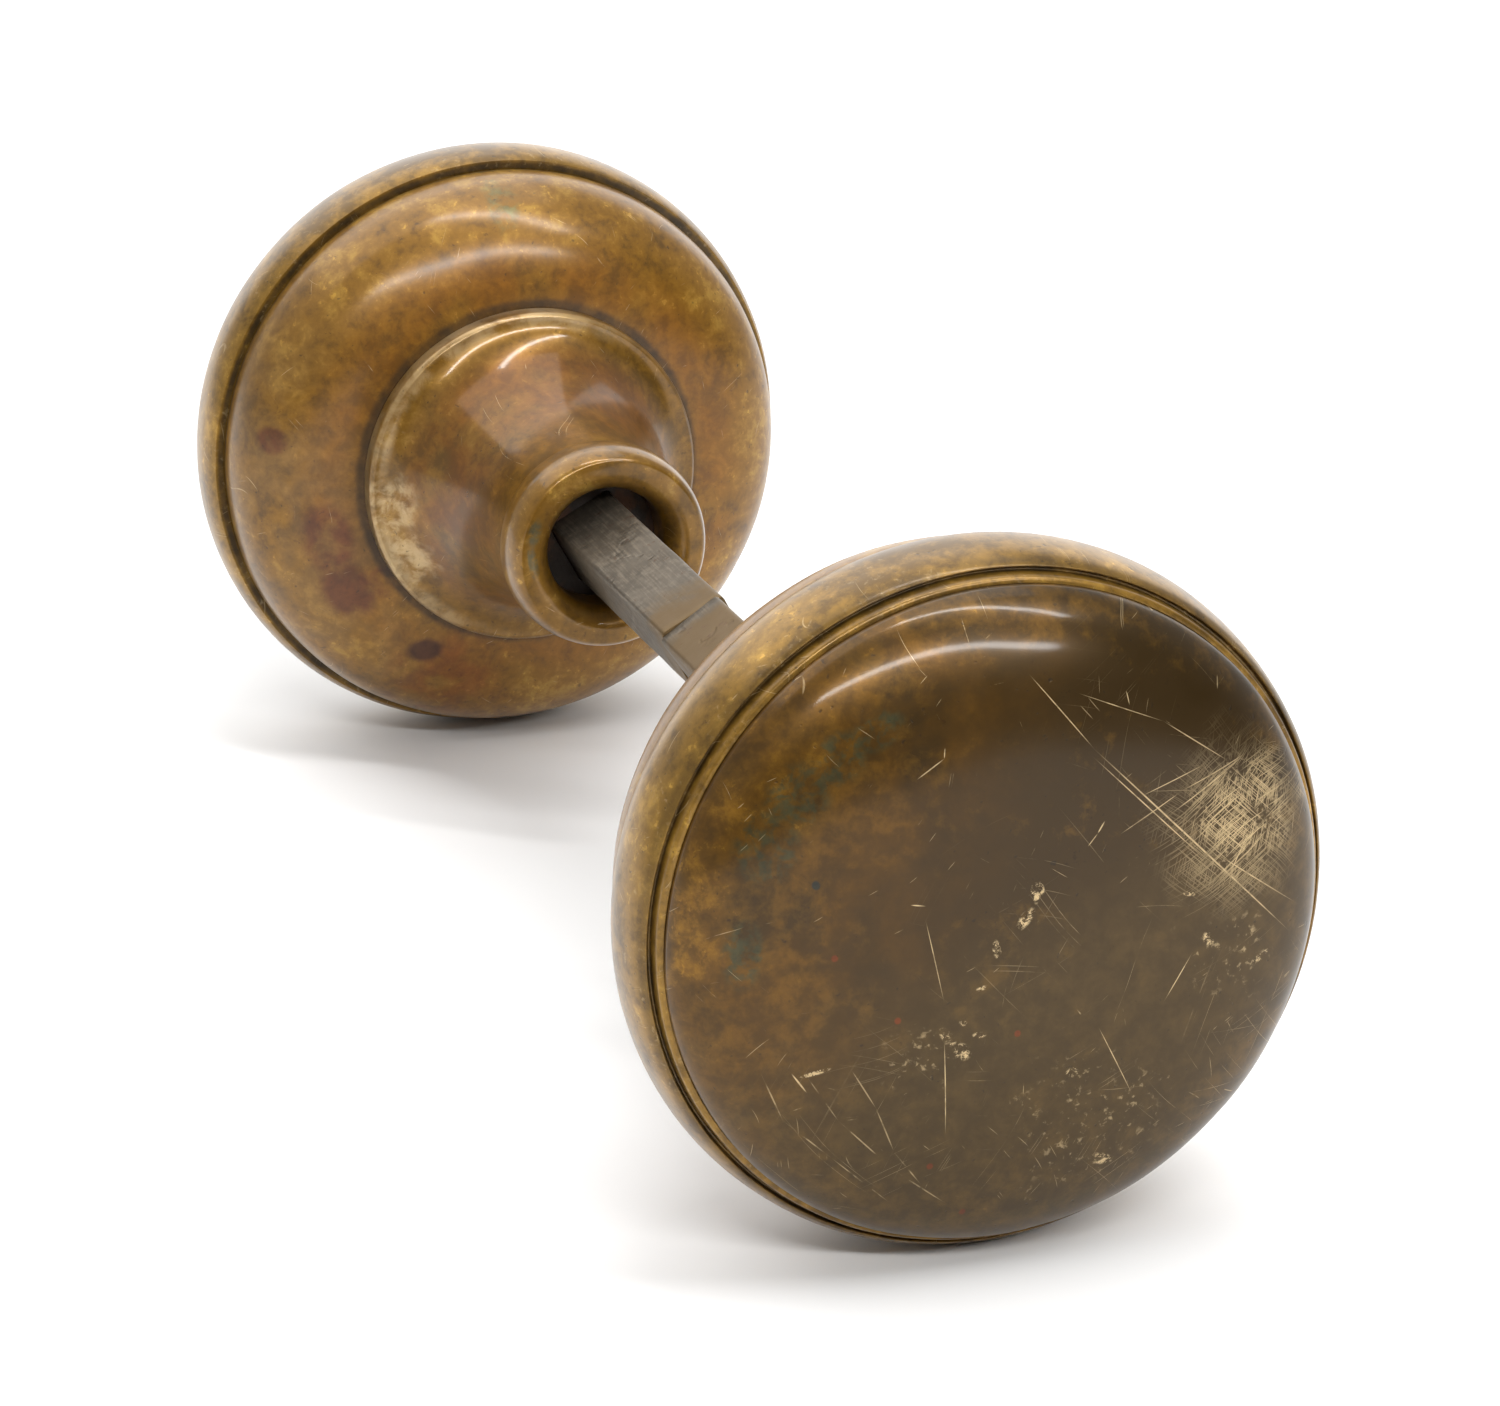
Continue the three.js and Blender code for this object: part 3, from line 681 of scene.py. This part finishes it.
RIM_MIDDLE = RIM_BACK + 3.1  # the rim's widest ring
BEAD_BACK_LENGTH = 3.6  # of the whole half of the ellipse; the rim's back edge cuts it short
BEAD_BACK_TURN, BEAD_FRONT_TURN = -59.5, 77  # degrees from the widest ring to the bead's two edges
RIM_FRONT = BEZEL_TOP - 0.8
BEAD_FOOT_RADIUS = KNOB_RADIUS - 1.375  # the bead is half an ellipse, on this radius
CREASE_STATION = RIM_FRONT - 0.6  # bottom of the crease between the bead and the bezel's lip
CREASE_RADIUS = BEAD_FOOT_RADIUS + 0.05
LIP_SEAM_RADIUS = FLANGE_RADIUS - 0.2  # where the bezel's lip meets the dome
DOME_BASE = BEZEL_TOP - 0.5
DOME_RADIUS = FLANGE_RADIUS - 0.05
DOME_EDGE_RADIUS = LIP_SEAM_RADIUS - 0.01
DOME_FLATNESS, DOME_SHOULDER = 2.3, 2.4
BACK_SHOULDER = RIM_BACK - 0.3
BACK_HUB_RADIUS = COLLAR_RADIUS - 4.8
BACK_FLATNESS = 2.6
BORE_RADIUS = CORE_RADIUS + 0.3
MOUTH_RADIUS = BORE_RADIUS - 0.7
MOUTH_EASE = 2.2  # how far in the mouth is eased open
LIP_FLAT_INNER, LIP_FLAT_OUTER = BORE_RADIUS + 1.3, BORE_RADIUS + 2.2
LIP_RADIUS = BORE_RADIUS + 3.2
LIP_MIDDLE = LIP_END + 2.8
NECK_RADIUS = BORE_RADIUS + 1.8
NECK_START = LIP_END + 6.2
FLARE_END = BACK_START - 2.0
FLARE_RADIUS = COLLAR_RADIUS - 0.5
FLARE_CURVE = 1.85
TAIL_RADIUS = BORE_RADIUS + 4.7


def face_shell():
    flange = FLANGE_BACK + BRASS_SHEET
    rise = FACE_TOP - DOME_BASE

    def dome(radius, edge, base):
        def at(t):
            r = edge * math.sin(t * math.pi / 2)
            return base + rise * (1 - (r / radius) ** DOME_FLATNESS) ** (1 / DOME_SHOULDER), r
        return at

    outer = curve(64, dome(DOME_RADIUS, DOME_EDGE_RADIUS, DOME_BASE))
    radius, edge, base = DOME_RADIUS - BRASS_SHEET, DOME_EDGE_RADIUS - BRASS_SHEET, DOME_BASE - BRASS_SHEET
    inner = curve(24, dome(radius, edge, base))
    return turned([
        *outer,
        (flange, DOME_EDGE_RADIUS, 0.2),
        (flange, FLANGE_RADIUS),
        (FLANGE_BACK, FLANGE_RADIUS),
        (FLANGE_BACK, DOME_EDGE_RADIUS - BRASS_SHEET),
        *reversed(inner),
    ])


def rim_bezel():
    def bead(length, from_turn, to_turn):
        def at(t):
            turn = math.radians(from_turn + (to_turn - from_turn) * t)
            height = KNOB_RADIUS - BEAD_FOOT_RADIUS
            return RIM_MIDDLE + length * math.sin(turn), BEAD_FOOT_RADIUS + height * math.cos(turn)
        return at

    inner = FLANGE_RADIUS + SEAM
    lip_back = FLANGE_BACK + BRASS_SHEET + SEAM
    front = curve(20, bead(RIM_FRONT - RIM_MIDDLE, 0, BEAD_FRONT_TURN))
    return turned([
        (RIM_BACK + 0.05, inner),
        *curve(16, bead(BEAD_BACK_LENGTH, BEAD_BACK_TURN, 0)),
        *front[1:-1],
        (*front[-1], 0.15),
        (CREASE_STATION, CREASE_RADIUS + 0.1, 0.08),
        (CREASE_STATION, CREASE_RADIUS - 0.1, 0.08),
        (BEZEL_TOP, LIP_SEAM_RADIUS + 0.5, 0.3),
        (BEZEL_TOP + 0.1, LIP_SEAM_RADIUS, 0.05),
        (lip_back, LIP_SEAM_RADIUS),
        (lip_back, inner),
    ])


def back_shell():
    hub = TAIL_RADIUS + SEAM

    def section(offset):
        def at(t):
            turn = t * math.pi / 2
            out, along = math.sin(turn) ** (2 / BACK_FLATNESS), math.cos(turn) ** (2 / BACK_FLATNESS)
            depth = BACK_SHOULDER - BACK_START - offset
            wide = SHOULDER_RADIUS - BACK_HUB_RADIUS - offset
            return BACK_SHOULDER - depth * along, BACK_HUB_RADIUS + wide * out
        return at

    return turned([
        (BACK_START, hub),
        *curve(52, section(0)),
        (BACK_SHOULDER + 0.35, FLANGE_RADIUS - SEAM, 0.15),
        (WALL_END, FLANGE_RADIUS - SEAM),
        (WALL_END, FLANGE_RADIUS - BRASS_SHEET),
        *reversed(curve(24, section(BRASS_SHEET))),
        (BACK_START + BRASS_SHEET, hub),
    ])


def stiffener_cup():
    eye, web, slope = 4.5, 17.0, 6.0
    return turned([
        (CUP_WEB - STEEL_SHEET, eye, 0.2), (CUP_WEB - STEEL_SHEET, web, 0.8),
        (CUP_BACK, web + slope - 0.5, 0.8),
        (CUP_BACK, CUP_RADIUS), (CUP_BACK + STEEL_SHEET, CUP_RADIUS),
        (CUP_BACK + STEEL_SHEET, web + slope, 1.2),
        (CUP_WEB, web + 0.5, 1.2), (CUP_WEB, eye, 0.2),
    ])


def shank():
    step_back = CORE_FRONT - SEAM  # where the bore narrows to the mouth

    def mouth(t):
        turn = (1 - t) * math.pi / 2
        eased = (LIP_FLAT_INNER - MOUTH_RADIUS) * math.sin(turn)
        return LIP_END + MOUTH_EASE * (1 - math.cos(turn)), LIP_FLAT_INNER - eased

    def lip(t):
        turn = -math.pi / 2 + t * math.pi * 5 / 6
        swell = (LIP_RADIUS - LIP_FLAT_OUTER) * math.cos(turn)
        return LIP_MIDDLE + (LIP_MIDDLE - LIP_END) * math.sin(turn), LIP_FLAT_OUTER + swell

    def flare(t):
        along = math.sin(t * math.pi / 2)
        rise = 1 - (1 - along ** FLARE_CURVE) ** (1 / FLARE_CURVE)
        station = NECK_START + (FLARE_END - NECK_START) * along
        return station, NECK_RADIUS + (FLARE_RADIUS - NECK_RADIUS) * rise

    return turned([
        (step_back, BORE_RADIUS),
        (step_back, MOUTH_RADIUS, 0.2),
        *curve(16, mouth),
        *curve(22, lip),
        *curve(44, flare),
        (FLARE_END, FLARE_RADIUS + 0.15, 0.1),
        (FLARE_END + 0.35, COLLAR_RADIUS, 0.25),
        (BACK_START + 0.1, COLLAR_RADIUS, 0.15),
        (BACK_START - SEAM, COLLAR_RADIUS - 2.0),
        (BACK_START - SEAM, TAIL_RADIUS),
        (TAIL_END - STEEL_SHEET, TAIL_RADIUS),
        (TAIL_END - STEEL_SHEET, TAIL_RADIUS + 1.6, 0.3),
        (TAIL_END, TAIL_RADIUS + 1.3, 0.5),
        (TAIL_END, BORE_RADIUS),
    ])


def washer():
    inner = TAIL_RADIUS + SEAM
    return turned([(WASHER_BACK, inner, 0.2), (WASHER_BACK, WASHER_RADIUS, 0.2),
                   (WASHER_FRONT, WASHER_RADIUS, 0.2), (WASHER_FRONT, inner, 0.2)])


# ---------------------------------------------------------------------------------------------- the screws

SCREW_RADIUS = 2.1
SCREW_PITCH = 0.8
SCREW_STATION = sum(reach("outside_set_screw")[:2]) / 2
SCREW_TOP = max(vert.co.dot(joint_axis("outside_set_screw_travel")) for vert in
                frame["nodes"]["outside_set_screw"].data.vertices) / MM
ACROSS_FLATS = 6.35
SCREW_CLEAR = 0.09  # from the screw's tip to the flat, more than the bar is uneven


def rod(low, high, outline, steps=48):
    """A closed rod on the Z axis. The outline gives (height, radius) points after its bottom's middle."""
    turns = [2 * math.pi * k / steps for k in range(steps)]
    rings = [[(0, 0, low)] * steps]
    rings += [[(r * math.cos(a), r * math.sin(a), z) for a in turns] for z, r in rounded(outline)]
    rings += [[(0, 0, high)] * steps]
    return skinned(rings)


def threaded(low, high, radius):
    """A screw on the Z axis with a real thread, turned down to its core at both ends."""
    depth, steps, lead_in = 0.28, 48, 0.5
    rows = int((high - low) / SCREW_PITCH * 12)
    rings = [[(0, 0, low + 0.3)] * steps]
    for row in range(rows + 1):
        z = low + (high - low) * row / rows
        ring = []
        for k in range(steps):
            wave = abs(2 * ((z / SCREW_PITCH - k / steps) % 1) - 1)
            taper = min(1.0, (z - low) / lead_in, (high - z) / lead_in)
            r = radius - depth * (1 - wave * taper)
            ring.append((r * math.cos(2 * math.pi * k / steps), r * math.sin(2 * math.pi * k / steps), z))
        rings.append(ring)
    rings += [[(0, 0, high)] * steps]
    return skinned(rings)


def at_screw(made):
    """Moves a mesh on the Z axis to the set screw's station."""
    made.transform(Matrix.Translation((SCREW_STATION * MM, 0, 0)))
    return made


def box(size, centre):
    made = bmesh.new()
    bmesh.ops.create_cube(made, size=MM)
    made.transform(Matrix.Translation(Vector(centre) * MM) @ Matrix.Diagonal((*size, 1)))
    return made


def set_screw():
    slot = box((0.8, 3 * SCREW_RADIUS, 2.2), (0, 0, SCREW_TOP))
    return at_screw(cut(threaded(ACROSS_FLATS / 2 + SCREW_CLEAR, SCREW_TOP, SCREW_RADIUS), slot))


def screw_hole():
    wall = NECK_RADIUS + 1.5
    return at_screw(rod(2, 14, [
        (2, SCREW_RADIUS + 0.08), (wall - 0.9, SCREW_RADIUS + 0.08), (wall + 1.1, SCREW_RADIUS + 2.0),
        (14, SCREW_RADIUS + 2.0),
    ]))


# --------------------------------------------------------------------------------------------- the spindle

SPINDLE_END = reach("outside_half_spindle")[1]
SWIVEL_FACE = 2.0
SWIVEL_GAP = 0.02  # each way from that face to the end of a half
CORNER = 0.55
PIN_RADIUS = 0.9
LOCK_STATION = sum(reach("stud_lock_pin")[:2]) / 2
GROOVE_STATION = sum(reach("swivel_groove_pin")[:2]) / 2
STUD_HALF, STUD_RADIUS = reach("swivel_stud")[1:]
STUD_BORE = STUD_RADIUS + 0.1


def square_bar(start, end, across=ACROSS_FLATS, corner=CORNER, ends=0.06):
    """A square bar along X, with rounded edges and eased ends, one flat facing up."""
    def section(station, shrink):
        half = across / 2 - shrink
        corners = [(half, -half), (half, half), (-half, half), (-half, -half)]
        outline = rounded([(y, z, corner) for y, z in corners], steps=6)
        return [(station, y, z) for y, z in outline]

    def middle(station):
        return [(station, 0, 0)] * len(section(station, 0))

    count = int((end - start) / 1.0)
    stations = [start + ends + (end - start - 2 * ends) * i / count for i in range(count + 1)]
    return skinned([
        middle(start), section(start, ends), section(start + ends * 0.35, ends * 0.3),
        *(section(station, 0) for station in stations),
        section(end - ends * 0.35, ends * 0.3), section(end, ends), middle(end),
    ])


def lying(start, end, radius):
    """A plain rod along X, to cut a bore."""
    return turned([(start, 0), (start, radius), (end, radius), (end, 0)], 48)


def pin_hole(station, low, high):
    made = rod(low, high, [
        (low, PIN_RADIUS + 0.06), (high - 0.4, PIN_RADIUS + 0.06), (high, PIN_RADIUS + 0.45),
    ])
    made.transform(Matrix.Translation((station * MM, 0, 0)))
    return made


def pin(station, low, high):
    made = rod(low, high, [
        (low, PIN_RADIUS, 0.25), (high - 0.12, PIN_RADIUS, 0.2), (high, PIN_RADIUS * 0.55, 0.2),
    ])
    made.transform(Matrix.Translation((station * MM, 0, 0)))
    return made


def outside_half():
    half = ACROSS_FLATS / 2
    bar = uneven(square_bar(SWIVEL_FACE + SWIVEL_GAP, SPINDLE_END), 0.05, 5.0)
    bore = lying(SWIVEL_FACE - 2, STUD_HALF + 0.2, STUD_BORE)
    return cut(bar, bore, pin_hole(LOCK_STATION, -half - 0.1, half + 0.1))


def inside_half():
    half = ACROSS_FLATS / 2
    bar = uneven(square_bar(SWIVEL_GAP - SWIVEL_FACE, SPINDLE_END), 0.05, 5.0)
    bore = lying(-SWIVEL_FACE - 2, STUD_HALF + 0.2, STUD_BORE)
    return cut(bar, bore, pin_hole(GROOVE_STATION, 0, half + 0.1))


def swivel_stud():
    groove = PIN_RADIUS + 0.15
    body = turned([
        (-STUD_HALF, 0), (-STUD_HALF, STUD_RADIUS, 0.3), (-GROOVE_STATION - groove, STUD_RADIUS, 0.1),
        (-GROOVE_STATION - groove, 1.1, 0.1), (-GROOVE_STATION + groove, 1.1, 0.1),
        (-GROOVE_STATION + groove, STUD_RADIUS, 0.1), (STUD_HALF, STUD_RADIUS, 0.3), (STUD_HALF, 0),
    ], 64)
    return cut(body, pin_hole(LOCK_STATION, -5, 5))


# --------------------------------------------------------------------------------------------- assembly

def add_knob(side, turn_round, materials):
    """Makes one knob. turn_round is end_for_end on the inside, and leaves a mesh alone on the outside."""
    screw_axis = joint_axis(side + "_set_screw_travel")
    flat_axis = -screw_axis
    body = side + "_knob"

    def add(part, made, rides=body):
        finish(f"{side}_{part}", made, materials[part], rides)

    def placed(made, direction):
        return faced(turn_round(made), direction)

    add("face_shell", uneven(turn_round(face_shell()), 0.09, 9.0))
    add("rim_bezel", uneven(turn_round(rim_bezel()), 0.05, 8.0))
    add("back_shell", uneven(turn_round(back_shell()), 0.10, 9.0))
    add("stiffener_cup", turn_round(stiffener_cup()))
    add("backing_washer", turn_round(washer()))
    body_blank = uneven(turn_round(shank()), 0.06, 8.0)
    hole = placed(screw_hole(), screw_axis)
    add("shank", cut(body_blank, hole))
    core = turned([
        (CORE_FRONT, 0), (CORE_FRONT, CORE_RADIUS, 0.4), (CORE_END, CORE_RADIUS, 0.2), (CORE_END, 0),
    ], 96)
    square = square_bar(CORE_FRONT - 1, CORE_END + 1, ACROSS_FLATS + 0.2)
    core = cut(turn_round(core), placed(square, flat_axis), placed(screw_hole(), screw_axis))
    add("square_core", core)
    add("set_screw", placed(set_screw(), screw_axis), side + "_screw")


def leave(made):
    return made


def add_spindle():
    outside_flat, inside_flat = mount_axis("outside_spindle_flat"), mount_axis("inside_spindle_flat")
    half = ACROSS_FLATS / 2
    near = spindle_steel("outside_spindle_steel", 141.0, 1.0, 6.0)
    far = spindle_steel("inside_spindle_steel", 151.0, -9.0, 3.5)
    inner = plain_steel("stud_steel", 161.0)
    pins = plain_steel("pin_steel", 171.0, srgb(132, 126, 116))
    bar = faced(outside_half(), outside_flat)
    finish("outside_half_spindle", bar, near, "outside_spindle")
    finish("swivel_stud", faced(swivel_stud(), outside_flat), inner, "outside_spindle")
    lock_pin = faced(pin(LOCK_STATION, -half + 0.05, half - 0.02), outside_flat)
    finish("stud_lock_pin", lock_pin, pins, "outside_spindle")
    bar = faced(end_for_end(inside_half()), inside_flat)
    finish("inside_half_spindle", bar, far, "inside_spindle")
    groove_pin = faced(end_for_end(pin(GROOVE_STATION, 1.3, half - 0.02)), inside_flat)
    finish("swivel_groove_pin", groove_pin, pins, "inside_spindle")


inner_steel = plain_steel("inner_steel", 181.0)
screw_steel = plain_steel("screw_steel", 191.0, srgb(110, 104, 96))
core_iron = iron()
shared = {"stiffener_cup": inner_steel, "backing_washer": inner_steel, "square_core": core_iron,
          "set_screw": screw_steel}
add_knob("outside", leave, {
    "face_shell": outside_face_patina(), "rim_bezel": rim_patina("outside_rim_patina", 13.0),
    "back_shell": back_patina("outside_back_patina", 23.0),
    "shank": shank_patina("outside_shank_patina", 33.0),
    **shared,
})
add_knob("inside", end_for_end, {
    "face_shell": inside_face_patina(), "rim_bezel": rim_patina("inside_rim_patina", 43.0),
    "back_shell": inside_back_patina(), "shank": inside_shank_patina(),
    **shared,
})
add_spindle()


# ------------------------------------------------------------------------------------ floor, light, camera

FLOOR_HALF = 4.0
KNOB_REST = -KNOB_RADIUS * MM  # the height that the rims rest on


def add_floor():
    """A plain white card."""
    made = bmesh.new()
    bmesh.ops.create_grid(made, x_segments=1, y_segments=1, size=FLOOR_HALF)
    mesh = bpy.data.meshes.new("floor")
    made.to_mesh(mesh)
    made.free()
    floor = bpy.data.objects.new("floor", mesh)
    floor.location.z = KNOB_REST
    scene.collection.objects.link(floor)
    g = Graph("white_card")
    tooth = g.noise(0.8, 201.0)
    g.set(Base_Color=g.mix(g.both(tooth, 0.05), (0.86, 0.86, 0.86, 1), (0.8, 0.8, 0.8, 1)), Roughness=0.7)
    g.set(Specular_IOR_Level=0.2)
    g.bumps((tooth, 0.004))
    mesh.materials.append(g.material)


def add_panel(name, start, end, wide, radiance):
    """A flat lamp between two places, facing the object, of one brightness all over."""
    start, end = Vector(start), Vector(end)
    along = (end - start).normalized()
    centre = (start + end) / 2
    back = (centre - along * centre.dot(along)).normalized()
    turn = Matrix((along, back.cross(along), back)).transposed()
    lamp = bpy.data.lights.new(name, "AREA")
    lamp.shape = "RECTANGLE"
    lamp.size, lamp.size_y = (end - start).length, wide
    lamp.energy = radiance * math.pi * lamp.size * lamp.size_y
    obj = bpy.data.objects.new(name, lamp)
    obj.matrix_world = Matrix.Translation(centre) @ turn.to_4x4()
    obj.visible_camera = False
    scene.collection.objects.link(obj)
    return obj


def add_room():
    """Surroundings that are pale behind and above the set, and dark in front of it."""
    world = bpy.data.worlds.new("room")
    world.use_nodes = True
    nodes, links = world.node_tree.nodes, world.node_tree.links
    background = nodes["Background"]
    direction = nodes.new("ShaderNodeTexCoord").outputs["Generated"]
    facing = nodes.new("ShaderNodeVectorMath")
    facing.operation = "DOT_PRODUCT"
    links.new(direction, facing.inputs[0])
    facing.inputs[1].default_value = Vector((0.93, 0.2, -0.3)).normalized()
    shade = nodes.new("ShaderNodeMapRange")
    shade.interpolation_type = "SMOOTHSTEP"
    links.new(facing.outputs["Value"], shade.inputs["Value"])
    for name, value in {"From Min": 0.1, "From Max": 0.7, "To Min": 0.5, "To Max": 0.04}.items():
        shade.inputs[name].default_value = value
    links.new(shade.outputs[0], background.inputs["Strength"])
    background.inputs["Color"].default_value = (1.0, 0.985, 0.96, 1)
    scene.world = world


def add_camera():
    data = bpy.data.cameras.new("camera")
    data.lens, data.sensor_width = 141.0, 36.0
    data.clip_start = 0.01
    camera = bpy.data.objects.new("camera", data)
    camera.location = (0.460321509, -0.153487165, 0.163304075)
    camera.rotation_euler = (math.radians(90 - 19.2509), 0, math.radians(71.0534))
    scene.collection.objects.link(camera)
    scene.camera = camera


add_floor()
add_panel("overhead", (-1.1, -0.12, 0.85), (0.05, -0.12, 0.85), 1.2, 1.65)
add_panel("backdrop", (-1.15, -0.55, 0.35), (-0.75, 1.1, 0.35), 0.9, 1.2)
add_panel("near_strip", (0.62, -0.37, 0.56), (0.735, 0.38, 0.365), 0.045, 38.0)
add_panel("top_strip", (0.02, -0.12, 0.90), (0.50, 0.44, 0.60), 0.042, 38.0)
add_room()
add_camera()
scene.view_settings.view_transform = "Standard"
